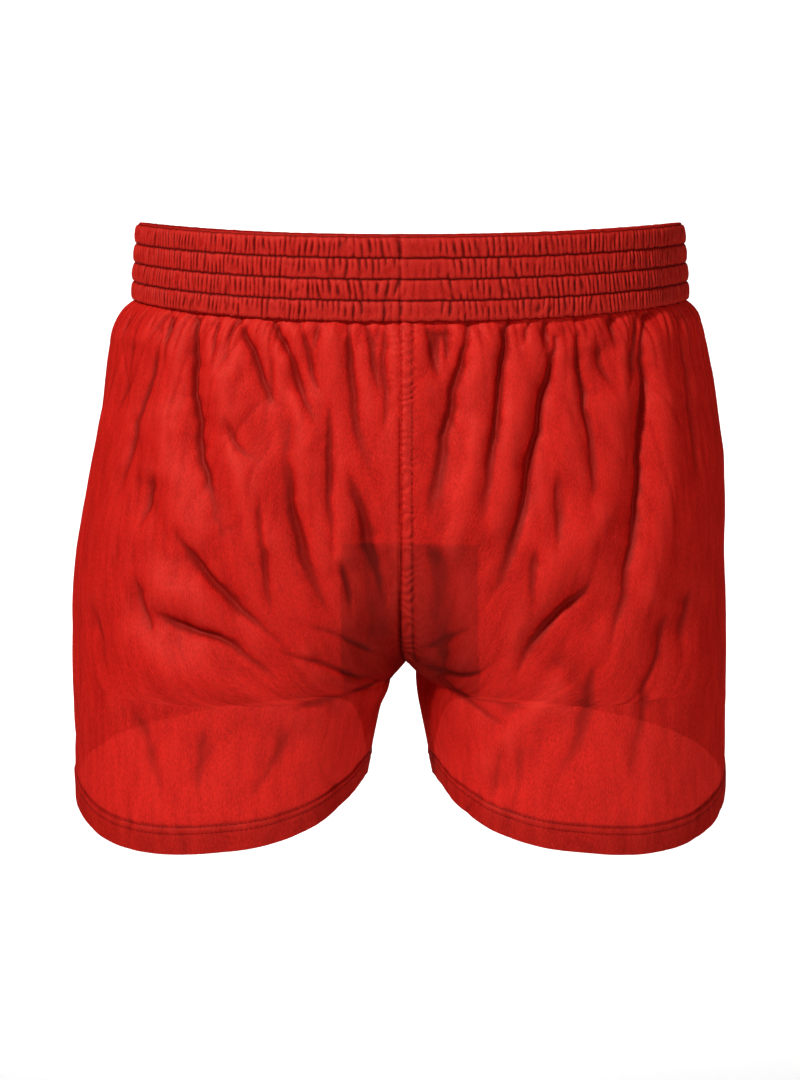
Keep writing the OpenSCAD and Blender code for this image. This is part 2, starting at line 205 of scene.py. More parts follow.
# Valleys between the folds of the front: depth, half width at the top end and at the
# lower end, then the points it runs through, all in millimetres: x, z.
VALLEYS = [
    # from the waistband down, over the wearer's right leg
    (2.0, 5, 6, [(-147, -58), (-158, -110)]),
    (2.2, 2.5, 4, [(-132, -58), (-142, -98), (-160, -170)]),
    (1.6, 1.6, 3, [(-125, -49), (-131, -68)]),
    (4.4, 3, 7, [(-113, -52), (-115, -100), (-106, -145), (-92, -180)]),
    (1.6, 1.6, 3, [(-99, -52), (-105, -78)]),
    (3.0, 2.5, 5, [(-87, -54), (-76, -86), (-64, -106)]),
    (3.4, 2, 6, [(-68, -54), (-55, -88), (-42, -122)]),
    (2.2, 2, 5, [(-55, -54), (-50, -78), (-40, -100)]),
    (1.8, 1.6, 2, [(-39, -90), (-39, -145), (-37, -205)]),
    (2.6, 2.5, 6, [(-29, -54), (-26, -95), (-17, -146)]),
    (2.0, 2, 4, [(-18, -55), (-13, -76), (-13, -105)]),
    (1.8, 2, 3, [(-8, -55), (-8, -120)]),
    # over the wearer's left leg
    (2.4, 2, 4, [(15, -54), (22, -90)]),
    (1.6, 2, 3, [(25, -56), (26, -82)]),
    (4.0, 3, 6, [(37, -54), (30, -90), (20, -135), (12, -172)]),
    (3.6, 2, 6, [(60, -52), (55, -95), (47, -145), (46, -175)]),
    (1.6, 2, 3, [(72, -51), (67, -70)]),
    (4.6, 3, 7, [(86, -62), (75, -115), (65, -165), (52, -200), (38, -225)]),
    (1.6, 2, 3, [(81, -51), (82, -70)]),
    (3.2, 1.6, 6, [(96, -52), (103, -100), (108, -138), (97, -172)]),
    (2.2, 6, 6, [(108, -64), (120, -96)]),
    (2.2, 2, 4, [(115, -48), (122, -74)]),
    (2.2, 1.6, 4, [(131, -48), (132, -75), (123, -100)]),
    (4.6, 2, 7, [(136, -50), (137, -105), (130, -165), (120, -215), (108, -262)]),
    (2.2, 3, 6, [(155, -50), (160, -100), (164, -168)]),
    # across the belly and the thighs, towards the crotch
    (2.2, 4, 6, [(-98, -104), (-90, -120), (-74, -132)]),
    (2.4, 5, 5, [(-132, -132), (-138, -150), (-145, -172)]),
    (2.4, 3, 4, [(-75, -142), (-77, -180), (-66, -224)]),
    (3.8, 4, 6, [(-62, -124), (-56, -170), (-46, -200), (-32, -228)]),
    (4.4, 5, 6, [(-126, -160), (-112, -188), (-88, -212), (-50, -238)]),
    (4.6, 4, 6, [(-138, -206), (-126, -218), (-96, -226), (-60, -252)]),
    (2.6, 3, 5, [(-30, -130), (-17, -170), (-4, -216)]),
    (2.0, 4, 5, [(-33, -180), (-25, -220)]),
    (2.6, 4, 5, [(-68, -232), (-35, -242), (-18, -249), (-3, -243)]),
    (1.2, 3, 5, [(-2, -238), (-36, -223), (-72, -212)]),
    (1.8, 3, 4, [(-3, -244), (-30, -257), (-72, -267)]),
    (1.6, 3, 4, [(88, -130), (87, -186)]),
    (1.6, 3, 4, [(74, -172), (71, -222)]),
    (4.4, 5, 6, [(110, -192), (84, -212), (66, -236), (60, -260)]),
    (2.8, 4, 4, [(3, -236), (18, -246), (38, -247), (60, -234)]),
    (1.0, 3, 5, [(4, -234), (26, -226), (50, -212)]),
    (1.6, 3, 4, [(7, -242), (34, -262), (66, -276)]),
    # down the sides and the lower legs
    (2.0, 4, 5, [(-147, -188), (-131, -234)]),
    (1.8, 4, 5, [(-170, -200), (-156, -262)]),
    (2.2, 5, 6, [(148, -205), (143, -232), (130, -268)]),
    (2.0, 5, 6, [(160, -192), (153, -244)]),
    (1.6, 8, 8, [(-148, -258), (-136, -292), (-124, -328)]),
    (1.8, 8, 8, [(-55, -266), (-70, -297), (-92, -324)]),
    (1.4, 5, 7, [(-104, -270), (-112, -300), (-108, -326)]),
    (2.0, 8, 8, [(110, -226), (102, -274), (78, -316)]),
    (1.8, 8, 8, [(137, -236), (131, -282), (118, -316)]),
    (1.4, 5, 7, [(58, -278), (50, -300), (52, -322)]),
]

# Broad swells and hollows of the front: height, half width, points.
SWELLS = [
    (3.0, 12, [(-132, -198), (-108, -212), (-82, -228)]),
    (2.4, 9, [(-98, -85), (-92, -120), (-75, -172)]),
    (2.4, 11, [(-131, -106), (-126, -142), (-114, -168)]),
    (2.0, 7, [(-55, -96), (-52, -123), (-55, -150)]),
    (3.2, 9, [(-50, -237), (-28, -256), (-11, -254)]),
    (2.6, 12, [(-148, -226), (-120, -248), (-55, -264)]),
    (-3.0, 13, [(-17, -172), (-11, -218)]),
    (2.4, 8, [(44, -112), (37, -145), (28, -175)]),
    (2.6, 9, [(63, -107), (55, -162)]),
    (2.4, 11, [(109, -160), (90, -188), (65, -222)]),
    (2.4, 10, [(147, -96), (146, -150), (137, -200)]),
    (2.6, 9, [(87, -254), (68, -270), (49, -292)]),
    (-2.6, 14, [(109, -210), (87, -237)]),
    (-2.0, 11, [(114, -74), (109, -88)]),
    (-2.0, 9, [(22, -183), (22, -232)]),
]


def back_valleys():
    """The back hangs in folds that start at the waistband and at the seat and run to the crotch."""
    rng = np.random.default_rng(17)
    out = []
    for i in range(26):
        x = -150 + 12 * i + rng.uniform(-4, 4)
        top = rng.uniform(-52, -46)
        length = rng.uniform(50, 150)
        drift = rng.uniform(-12, 12) - 0.10 * x
        points = [(x + drift * s + rng.uniform(-2, 2), top - length * s) for s in np.linspace(0, 1, 5)]
        out.append((rng.uniform(1.4, 3.6), rng.uniform(1.8, 3), rng.uniform(4, 7), points))
    for i in range(14):
        side = rng.choice([-1, 1])
        x, z = side * rng.uniform(50, 150), rng.uniform(-190, -130)
        end = (side * rng.uniform(8, 60), rng.uniform(-245, -215))
        bow = rng.uniform(6, 18)
        points = [
            (mix(x, end[0], s), mix(z, end[1], s) - bow * math.sin(math.pi * s))
            for s in np.linspace(0, 1, 6)
        ]
        out.append((rng.uniform(2.2, 4.2), rng.uniform(4, 6), rng.uniform(4, 6), points))
    return out


BACK_VALLEYS = back_valleys()
fold_strength = 1.2


def along_line(x, z, points):
    """Distance from a broken line and the share of its length at the nearest point."""
    points = np.array(points, float) * MM
    lengths = np.linalg.norm(np.diff(points, axis=0), axis=1)
    total, done = lengths.sum(), 0.0
    best, share = np.full(x.shape, 1e9), np.zeros(x.shape)
    for p, q, length in zip(points[:-1], points[1:], lengths):
        d = (q - p) / length
        s = np.clip((x - p[0]) * d[0] + (z - p[1]) * d[1], 0, length)
        away = np.hypot(x - p[0] - s * d[0], z - p[1] - s * d[1])
        nearer = away < best
        best = np.where(nearer, away, best)
        share = np.where(nearer, (done + s) / total, share)
        done += length
    return best, share


def smoothed(points):
    """The same line with its corners rounded, by cutting each corner twice."""
    line = [np.array(p, float) for p in points]
    for _ in range(2):
        cut = [line[0]]
        for p, q in zip(line[:-1], line[1:]):
            cut += [0.75 * p + 0.25 * q, 0.25 * p + 0.75 * q]
        line = cut + [line[-1]]
    return line


def laid_folds(face, x, y, z):
    """The listed folds, their lines made a little crooked so that none looks ruled."""
    sx, sz = seen(face, x, y, z)
    if face == BACK:
        sx = -sx
    coarse, fine = 0.024, 0.008
    wx = sx + 1.6 * MM * noise2(sx / coarse + 40, sz / coarse + 30, 5)
    wx = wx + 0.5 * MM * noise2(sx / fine + 40, sz / fine + 30, 6)
    wz = sz + 1.6 * MM * noise2(sx / coarse + 80, sz / coarse + 30, 7)
    total = np.zeros(x.shape)
    for depth, top, low, points in VALLEYS if face == FRONT else BACK_VALLEYS:
        away, share = along_line(wx, wz, smoothed(points))
        at_band = points[0][1] > -66
        start = 0.45 + 0.55 * ramp(0, 0.2, share) if at_band else ramp(0, 0.3, share)
        taper = start * (1 - ramp(0.4, 1, share))
        near = away / (mix(top, low, share) * MM)
        valley = np.exp(-1.5 * (np.sqrt(near**2 + 0.02) - 0.14)) + 0.7 * np.exp(-((near / 2.8) ** 2))
        total -= depth * MM * valley * taper
    if face == FRONT:
        for height, width, points in SWELLS:
            away, share = along_line(wx, wz, smoothed(points))
            total += height * MM * np.exp(-((away / (width * MM)) ** 2))
    return fold_strength * total


def gathers(t, drop):
    """Short pleats that the waistband's stitching pulls into the cloth below it."""
    total = np.zeros(t.shape)
    rng = np.random.default_rng(11)
    count = 250
    whole = 4 * quarter
    for i in range(count):
        middle = (i + rng.uniform(-0.4, 0.4)) / count * whole - whole / 2
        width = rng.uniform(0.8, 2.0) * MM
        length = rng.uniform(5, 24) * MM * (1.9 if rng.uniform() < 0.25 else 1)
        height = rng.uniform(0.8, 2.2) * MM * rng.choice([-1, -1, -1, 0.8])
        slant = rng.uniform(-0.25, 0.25)
        bend = rng.uniform(-6, 6)
        near = np.abs((t - middle - slant * drop - bend * drop**2 + whole / 2) % whole - whole / 2)
        close = (near < 5 * width) & (drop < 2.6 * length)
        if not close.any():
            continue
        at = drop[close]
        spread = near[close] / (width * (1 + 1.3 * at / length))
        fades = (0.35 + 0.65 * ramp(0, 0.007, at)) * np.exp(-((at / length) ** 1.6))
        total[close] += height * np.exp(-1.7 * (np.sqrt(spread**2 + 0.12) - 0.34)) * fades
    return total


def relief(side, face, u, z0, x, y, z):
    """How far the cloth stands off the smooth body."""
    t = around(side, face, u)
    drop = np.maximum(0, -z0 - band_h)
    share = drop / (side_l - band_h)
    leg_edge = 1 - (1 - ramp(0, 0.14, u)) * ramp(crotch - 0.020, crotch, -z0)
    meeting = 1 - (face == BACK) * np.exp(-((u * quarter / 0.006) ** 2)) * (z0 > -crotch)
    hanging = ramp(0, 0.045, drop) * (1 - 0.5 * ramp(0.55, 1, share))
    off_seam = ramp(0, 0.14, 1 - u)
    slanted = t - 0.10 * drop * np.sign(t)
    soft = 2.6 * MM * ring_noise(slanted, 0.034, drop / 0.16 + 3, 21)
    soft += 1.2 * MM * ring_noise(slanted, 0.017, drop / 0.10 + 9, 22)
    bend = 0.004 * noise2(t / 0.02 + 60, drop / 0.03 + 8, 26)
    crease = 1 - np.minimum(1, 2.6 * np.abs(noise2((slanted + bend) / 0.020 + 90, drop / 0.070 + 4, 27)))
    creased = ramp(0, 0.012, drop) * (0.3 + 0.7 * ramp(0, 0.4, np.abs(share - 0.6)))
    small = 0.35 * MM * noise2(t / 0.012 + 60, drop / 0.030 + 8, 24)
    small += 0.12 * MM * noise2(t / 0.005 + 90, drop / 0.012 + 4, 25)
    total = mix(0.75, 0.5 if face == FRONT else 0.9, off_seam) * soft * hanging
    total = total + laid_folds(face, x, y, z) * off_seam
    total = total - 0.5 * crease**2 * creased * MM + small * ramp(0, 0.02, drop)
    total = (total + gathers(t, drop)) * leg_edge * meeting
    # the seam down the middle pulls in, and the strip stitched beside it stands up and puckers
    centre = (z0 > -crotch) * ramp(0, 0.006, -z0 - band_h + 0.004)
    total = total - 1.0 * MM * np.exp(-((x / (1.1 * MM)) ** 2)) * centre
    if face == FRONT:
        sewn = z0 > -crotch + 0.012
        strip = ramp(0.4 * MM, 1.6 * MM, x) * (1 - ramp(fly_w - 0.3 * MM, fly_w + 0.8 * MM, x)) * sewn
        wave = z / (4.9 * MM) + 0.9 * noise2(x / 0.006 + 20, z / 0.012 + 20, 31)
        pucker = np.sin(2 * math.pi * wave)
        total = total + strip * (0.55 + 0.26 * pucker) * MM
        total = total - 0.5 * MM * np.exp(-(((x - fly_w - 0.3 * MM) / (0.9 * MM)) ** 2)) * sewn
        total = total + 0.22 * MM * pucker * np.exp(-(((x - 4 * MM) / (8 * MM)) ** 2)) * sewn
    # side seams lie in a shallow groove
    total = total - 0.6 * MM * np.exp(-(((1 - u) * quarter / (1.2 * MM)) ** 2))
    # the doubled hem stands out above its edge and is drawn in along its upper stitching
    up = z0 + side_l
    doubled = 1 - ramp(hem_h - 0.6 * MM, hem_h + 1.0 * MM, up)
    drawn = np.exp(-(((up - hem_h - 0.4 * MM) / (0.9 * MM)) ** 2))
    drawn2 = np.exp(-(((up - hem_h + 2.8 * MM) / (0.7 * MM)) ** 2))
    hem_pucker = noise2(t / 0.0045 + 70, up / 0.02 + 4, 33)
    total = total + 0.6 * MM * doubled - 0.5 * MM * drawn - 0.35 * MM * drawn2
    return total + 0.30 * MM * hem_pucker * np.exp(-(((up - hem_h) / (5 * MM)) ** 2))


def spot(side, face, u, z0, off=0.0, lifts=None):
    """Points of the cloth, off further out than its middle. The list lifts also receives how far
    they stand off the smooth body."""
    x, y, nx, ny = plan(side, face, u, z0)
    z = z0 + settle(face, u, y, z0)
    lift = relief(side, face, u, z0, x, y, z) + off
    if lifts is not None:
        lifts.append(lift)
    # the crotch hangs a little to the wearer's left
    pulled = crotch_pull * np.exp(-(((z0 + crotch) / 0.014) ** 2)) * np.exp(-((x / 0.022) ** 2))
    return np.stack([x + nx * lift + pulled, y + ny * lift, z], axis=-1)


# ---- the waistband ----

def band_z(count):
    """Height of a place in the band, counted in channels up from its lower seam."""
    return -band_h * (1 - count / channels)


def ruche(t, count):
    """Fine pleats across the channels: round tops and sharp valleys, each channel with its own."""
    channel = np.clip(np.floor(count), 0, channels - 1)
    inside = np.clip(count - channel, 0, 1)
    full = np.sin(math.pi * inside)
    bow = 1.1 * MM * full * np.clip(t / quarter, -1, 1)
    along = t + bow + 0.5 * MM * ring_noise(t, 0.006, count * 0.8 + 3 * channel, 41)
    wander = 1.5 * ring_noise(t, 0.014, 7 * channel + 0.4 * inside, 42)
    phase = math.pi * along / (2.6 * MM) + wander + 2.1 * channel
    pleat = np.abs(np.sin(phase))
    second = np.abs(np.sin(0.41 * phase + 1.3 * wander + channel))
    strength = np.clip(0.55 + 0.9 * ring_noise(t, 0.006, count * 1.6 + 11 * channel, 43), 0.10, 1.2)
    wide = np.clip(0.45 + 0.8 * ring_noise(t, 0.011, count * 1.2 + 23 * channel, 45), 0.0, 1.0)
    tiny = 0.10 * ring_noise(t, 0.0016, count * 5, 46)
    plain = 1 - 0.7 * ramp(0.5 * MM, 2.5 * MM, t) * (1 - ramp(11 * MM, 15 * MM, t))
    shut = 1 - np.exp(-(((2 * quarter - np.abs(t)) / (3 * MM)) ** 2))
    height = 1.15 * (pleat**0.8 - 0.7) * strength + 0.8 * (second - 0.64) * wide + tiny
    return height * (0.65 + 0.45 * full) * MM * plain * shut


def band_spot(side, face, u, count, off, lifts=None):
    """Points on the outer wall of the band; count above the last channel is the fold at the top."""
    z0 = np.minimum(0, band_z(count))
    x, y, nx, ny = plan(side, face, u, z0)
    t = around(side, face, u)
    inside = np.clip(count, 0, channels) % 1
    bulge = np.abs(np.sin(math.pi * inside))
    puff = (1.2 * (1 - np.exp(-bulge / 0.12)) + 0.45 * bulge) * MM
    seam_w = 1.0 * MM
    centre = 0.7 * MM * np.exp(-((x / seam_w) ** 2))
    centre = centre + 0.5 * MM * np.exp(-(((1 - u) * quarter / seam_w) ** 2))
    sewn = 0.35 + 0.65 * np.minimum(1, bulge / 0.25)
    low_edge = 0.75 * MM * np.exp(-((count / 0.10) ** 2))
    lift = 0.7 * MM + puff + ruche(t, count) * sewn - centre - low_edge + off
    if lifts is not None:
        lifts.append(lift)
    ragged = 0.35 * ring_noise(t, 0.005, np.full(t.shape, 2.0), 44)
    at_seam = np.exp(-((count / 0.15) ** 2))
    ragged = ragged + 0.5 * at_seam * ring_noise(t, 0.0025, np.full(t.shape, 5.0), 47)
    z = z0 + settle(face, u, y, z0) + ragged * MM
    return np.stack([x + nx * lift, y + ny * lift, z], axis=-1)


# ---- making meshes ----

def lie_of(lift, reach, scale):
    """How cloth lies: -1 in the bottom of a valley, 0 on the flat, 1 on the crest of a fold. The satin
    paints shade into the valleys and a highlight onto the crests from it.
    """
    def averaged(values, axis, n):
        pad = [(n, n) if k == axis else (0, 0) for k in range(2)]
        run = np.cumsum(np.pad(values, pad, mode="edge"), axis=axis)
        run = np.concatenate([np.zeros_like(run.take([0], axis)), run], axis=axis)
        size, window = values.shape[axis], 2 * n + 1
        return (run.take(range(window, window + size), axis) - run.take(range(size), axis)) / window

    level = lift
    for _ in range(2):
        level = averaged(averaged(level, 0, reach[0]), 1, reach[1])
    return np.clip((lift - level) / scale, -1, 1)


def sheet_mesh(name, grid, t, drop, lie=None, layers_and_shade=None, row=0.5):
    """A mesh from a grid of points, with flat cloth coordinates in metres in its UV map.
    Its face at that share of the rows looks outwards."""
    rows, cols = grid.shape[:2]
    index = np.arange(rows * cols).reshape(rows, cols)
    corners = [index[:-1, :-1], index[:-1, 1:], index[1:, 1:], index[1:, :-1]]
    quads = np.stack(corners, axis=-1).reshape(-1, 4)
    i, j = int(row * (rows - 2)), cols // 2
    normal = np.cross(grid[i, j + 1] - grid[i, j], grid[i + 1, j] - grid[i, j])
    if normal[:2] @ grid[i, j, :2] < 0:
        quads = quads[:, ::-1]
    piece = quad_mesh(name, grid.reshape(-1, 3), quads, np.stack([t, drop], axis=-1).reshape(-1, 2))
    for label, values in (("lie", lie), ("layers_and_shade", layers_and_shade)):
        if values is not None:
            layer = piece.data.attributes.new(label, "FLOAT", "POINT")
            layer.data.foreach_set("value", values.astype(np.float32).ravel())
    return piece


def quad_mesh(name, points, quads, flat=None):
    mesh = bpy.data.meshes.new(name)
    mesh.vertices.add(len(points))
    mesh.vertices.foreach_set("co", np.ascontiguousarray(points, np.float32).ravel())
    mesh.loops.add(quads.size)
    mesh.loops.foreach_set("vertex_index", np.ascontiguousarray(quads, np.int32).ravel())
    mesh.polygons.add(len(quads))
    mesh.polygons.foreach_set("loop_start", np.arange(0, quads.size, 4, dtype=np.int32))
    mesh.polygons.foreach_set("use_smooth", np.ones(len(quads), bool))
    mesh.update(calc_edges=True)
    if flat is not None:
        layer = mesh.uv_layers.new(name="cloth")
        layer.data.foreach_set("uv", flat[quads.ravel()].astype(np.float32).ravel())
    mesh.validate()
    piece = bpy.data.objects.new(name, mesh)
    bpy.context.scene.collection.objects.link(piece)
    return piece


def cosine_steps(n):
    return (1 - np.cos(np.linspace(0, math.pi, n + 1))) / 2


def panel_rows():
    upper = mix(-band_h + 1.5 * MM, -crotch, 0.5 * cosine_steps(240) + 0.5 * np.linspace(0, 1, 241))
    lower = np.linspace(-crotch, -side_l, 80)[1:]
    return np.concatenate([upper, lower])


def make_panel(side, face):
    cols = 300
    u, z0 = np.meshgrid(np.linspace(0, 1, cols + 1), panel_rows())
    tucked = -0.35 * MM * (1 - ramp(0, 2.5 * MM, -z0 - band_h + 1.0 * MM))
    lifts = []
    grid = spot(side, face, u, z0, tucked, lifts)
    name = f"{FACES[face]}_panel_{SIDES[side]}"
    # lie: the valleys and crests of the folds, from which the satin paints shade and highlight
    lie = 0.5 * lie_of(lifts[0], (3, 4), 0.5 * MM) + 0.4 * lie_of(lifts[0], (8, 12), 2.4 * MM)
    t = around(side, face, u)
    away = np.abs(plan(side, face, u, z0)[0] - lining_shift)
    # behind the lining the colour is darkened: partly two layers reading deeper, partly painted shade of
    # the light the lining holds back from behind
    layers_and_shade = (face == FRONT) * (1 - ramp(lining_w - 0.4 * MM, lining_w + 0.4 * MM, away))
    layers_and_shade = layers_and_shade * (1 - ramp(lining_h - 0.4 * MM, lining_h + 0.4 * MM, z0 + crotch)) * (z0 >= -crotch)
    # painted shade where the thighs meet: the colour is darkened there, as little light comes through from
    # behind
    painted_thigh_shade = np.exp(-((away / 0.030) ** 2) - ((z0 + crotch) / 0.038) ** 2)
    layers_and_shade = layers_and_shade * 0.8 + 1.3 * (face == FRONT) * painted_thigh_shade
    # the hem is folded cloth: two layers, darkened the same way
    layers_and_shade = layers_and_shade + 0.5 * (1 - ramp(hem_h - 0.2 * MM, hem_h + 0.6 * MM, z0 + side_l))
    return sheet_mesh(name + "_cloth", grid, t, -z0, lie, layers_and_shade)


def make_hem(side, face):
    """The turned-up hem: round the folded edge and up inside to its stitching."""
    cols = 230
    path = []
    for a in np.linspace(0, math.pi, 7):
        path.append((0.45 * MM * (math.cos(a) - 1), -0.45 * MM * math.sin(a)))
    for up in np.linspace(0, hem_h + 1 * MM, 12)[1:]:
        path.append((-0.9 * MM, up))
    offs, ups = np.array(path).T
    u, up = np.meshgrid(np.linspace(0, 1, cols + 1), ups)
    off = np.repeat(offs[:, None], cols + 1, axis=1)
    z0 = -side_l + np.maximum(0, up)
    grid = spot(side, face, u, z0, off)
    grid[..., 2] += np.minimum(0, up)
    name = f"hem_{FACES[face]}_{SIDES[side]}"
    t = around(side, face, u)
    return sheet_mesh(name + "_cloth", grid, t, up)


def make_waistband(side, face):
    """The casing: up the puffed outer wall, over the fold and down the inner wall."""
    cols = 640
    rows = cosine_steps(13)[:-1] * 0.6 + np.linspace(0, 1, 14)[:-1] * 0.4
    outer = np.concatenate([k + rows for k in range(channels)] + [[channels]])
    fold = np.linspace(0, 1, 7)[1:-1]
    inner = np.linspace(channels, 0, 17)
    count = np.concatenate([outer, np.full(len(fold), float(channels)), inner])
    depth = 3.2 * MM
    off = np.concatenate([
        np.zeros(len(outer)),
        -depth * (1 - np.cos(math.pi * fold)) / 2,
        np.full(len(inner), -depth),
    ])
    rise = np.concatenate([np.zeros(len(outer)), 1.1 * MM * np.sin(math.pi * fold), np.zeros(len(inner))])
    walls = np.concatenate([np.ones(len(outer)), 1 - fold, np.zeros(len(inner))])
    u, count_grid = np.meshgrid(np.linspace(0, 1, cols + 1), count)
    grid_off = off[:, None] * np.ones_like(u)
    lifts = []
    outside = band_spot(side, face, u, count_grid, 0, lifts)
    z0 = np.minimum(0, band_z(count_grid))
    x, y, nx, ny = plan(side, face, u, z0)
    calm = 0.35 * ruche(around(side, face, u), count_grid)
    inner_off = grid_off + calm
    inside = np.stack([x + nx * inner_off, y + ny * inner_off, z0 + settle(face, u, y, z0)], axis=-1)
    weight = walls[:, None, None]
    grid = outside * weight + inside * (1 - weight)
    grid[..., 2] += rise[:, None]
    name = f"waistband_{FACES[face]}_{SIDES[side]}"
    t = around(side, face, u)
    steps = np.abs(np.diff(off)) + np.abs(np.diff(count)) * band_h / channels
    reach = np.cumsum(np.concatenate([[0], steps]))
    drop = -reach[:, None] * np.ones_like(u)
    # lie: the valleys and crests of the ruching, from which the satin paints shade and highlight; none on
    # the inner wall
    lie = 1.15 * lie_of(lifts[0], (2, 5), 0.30 * MM)
    lie[len(outer):] = 0
    # the doubled band is darkened all over: partly two layers reading deeper, partly painted shade of the
    # light they hold back
    return sheet_mesh(name + "_cloth", grid, t, drop, lie, np.full(u.shape, 0.7), row=0.06)


# ---- threads ----

def stitch_shape():
    """One stitch of unit length along x: a closed, rounded bead."""
    rings, around_it = 5, 6
    points, quads = [], []
    for i in range(rings):
        s = -0.5 + i / (rings - 1)
        r = max(0.18, math.sqrt(max(0, 1 - (2 * s) ** 2))) * 0.5
        for k in range(around_it):
            a = 2 * math.pi * k / around_it
            points.append((s, r * math.cos(a), r * math.sin(a)))
    for i in range(rings - 1):
        for k in range(around_it):
            b = (k + 1) % around_it
            here, there = i * around_it, (i + 1) * around_it
            quads.append((here + k, here + b, there + b, there + k))
    first, last = 0, (rings - 1) * around_it
    for a, b, c, d in ((0, 3, 4, 5), (0, 1, 2, 3)):
        quads.append((first + d, first + c, first + b, first + a))
        quads.append((last + a, last + b, last + c, last + d))
    return np.array(points), np.array(quads)


def make_stitches(name, lines, pitch=2.6 * MM, length=2.1 * MM, width=0.42 * MM):
    """Rows of single stitches along lines of points that lie on the cloth."""
    shape, quads = stitch_shape()
    points, faces, base = [], [], 0
    for line in lines:
        steps = np.linalg.norm(np.diff(line, axis=0), axis=1)
        reach = np.concatenate([[0], np.cumsum(steps)])
        middles = np.arange(pitch / 2, reach[-1], pitch)
        for m in middles:
            first = np.array([np.interp(m - length / 2, reach, line[:, k]) for k in range(3)])
            last = np.array([np.interp(m + length / 2, reach, line[:, k]) for k in range(3)])
            along = last - first
            size = np.linalg.norm(along)
            along /= size
            across = np.cross(along, (0.0, 0.0, 1.0))
            if np.linalg.norm(across) < 0.2:
                across = np.cross(along, (0.0, 1.0, 0.0))
            across /= np.linalg.norm(across)
            up = np.cross(across, along)
            middle = (first + last) / 2
            local = shape * (size, width, width)
            points.append(middle + local[:, :1] * along + local[:, 1:2] * across + local[:, 2:] * up)
            faces.append(quads + base)
            base += len(shape)
    return quad_mesh(name, np.concatenate(points), np.concatenate(faces))


def hem_stitches(side, face):
    u = np.linspace(0.004, 0.996, 400)
    lines = []
    for up in (hem_h + 0.2 * MM, hem_h - 2.8 * MM):
        lines.append(spot(side, face, u, np.full(u.shape, -side_l + up), 0.15 * MM))
    return make_stitches(f"hem_stitching_{FACES[face]}_{SIDES[side]}_thread", lines)


def waist_stitches(face):
    u = np.linspace(0, 1, 500)
    lines = []
    for side in SIDES:
        for k in range(channels):
            lines.append(band_spot(side, face, u, np.full(u.shape, k + 0.02), 0.10 * MM))
    return make_stitches(f"waist_stitching_{FACES[face]}_thread", lines, width=0.36 * MM)


def u_at_x(side, face, x, z0):
    """The u of the place x from the centre, for rows above the crotch."""
    u = np.linspace(0, 0.4, 1200)
    out = []
    for level in z0:
        found = side * plan(side, face, u, np.full(u.shape, level))[0]
        out.append(np.interp(x, found, u))
    return np.array(out)


def fly_stitches():
    lines = []
    for x, low in ((0.9 * MM, crotch - 3 * MM), (fly_w, crotch - 14 * MM)):
        z0 = np.linspace(-band_h - 1 * MM, -low, 220)
        lines.append(spot(LEFT, FRONT, u_at_x(LEFT, FRONT, x, z0), z0, 0.1 * MM))
    return make_stitches("fly_stitching_thread", lines, width=0.36 * MM)


# ---- the layers inside ----

def make_strip(name, side, face, z0, first, last, cols, off):
    share = np.linspace(0, 1, cols + 1)
    u = first[:, None] * (1 - share) + last[:, None] * share
    levels = np.repeat(z0[:, None], cols + 1, axis=1)
    grid = spot(side, face, u, levels, off)
    t = around(side, face, u)
    return sheet_mesh(name, grid, t, -levels)


def make_lining():
    """The patch inside the crotch, across the front seam."""
    z0 = np.linspace(-crotch + lining_h, -crotch + 6 * MM, 70)
    halves = []
    for side in (RIGHT, LEFT):
        xs = np.linspace(0, lining_w + side * lining_shift, 38)
        u = np.stack([u_at_x(side, FRONT, x, z0) for x in xs], axis=1)
        grid = spot(side, FRONT, u, np.repeat(z0[:, None], len(xs), axis=1), 0)
        n = np.abs(plan(side, FRONT, u, np.repeat(z0[:, None], len(xs), axis=1))[3])
        grid[..., 1] += 2.4 * MM / np.maximum(0.35, n)
        grid[..., 0] = side * np.maximum(0, side * grid[..., 0])
        halves.append(grid)
    grid = np.concatenate([halves[0][:, :0:-1], halves[1]], axis=1)
    return sheet_mesh("crotch_lining_cloth", grid, grid[..., 0], -grid[..., 2])


def make_elastic(number):
    """A knitted elastic, one closed ring with a rounded flat section."""
    steps = 150
    quarters = [(RIGHT, FRONT, True), (LEFT, FRONT, False), (LEFT, BACK, True), (RIGHT, BACK, False)]
    middle = channels - number + 0.5
    height, thick = 8 * MM / band_h * channels / 2, 0.5 * MM
    section = [(math.cos(a), math.sin(a)) for a in np.linspace(0, 2 * math.pi, 13)[:-1]]
    rings = []
    for side, face, inward in quarters:
        u = np.linspace(0, 1, steps + 1)
        u = u[::-1][:-1] if inward else u[:-1]
        ring = []
        for c, s in section:
            count = middle + height * power(s, 0.4)
            z0 = np.full(u.shape, band_z(count))
            x, y, nx, ny = plan(side, face, u, z0)
            lift = -1.6 * MM + thick * power(c, 0.6)
            ring.append(np.stack([x + nx * lift, y + ny * lift, z0 + settle(face, u, y, z0)], axis=-1))
        rings.append(np.stack(ring, axis=1))
    grid = np.concatenate(rings)
    n, m = grid.shape[:2]
    index = np.arange(n * m).reshape(n, m)
    nxt, side_on = np.roll(index, -1, axis=0), np.roll(index, -1, axis=1)
    both = np.roll(nxt, -1, axis=1)
    quads = np.stack([index, side_on, both, nxt], axis=-1).reshape(-1, 4)
    reach = np.arange(n)[:, None] * 4 * quarter / n * np.ones((1, m))
    flat = np.stack([reach, np.arange(m)[None] * 1.4 * MM * np.ones((n, 1))], axis=-1)
    return quad_mesh(f"elastic_{number}_webbing", grid.reshape(-1, 3), quads, flat.reshape(-1, 2))


# ---- materials ----

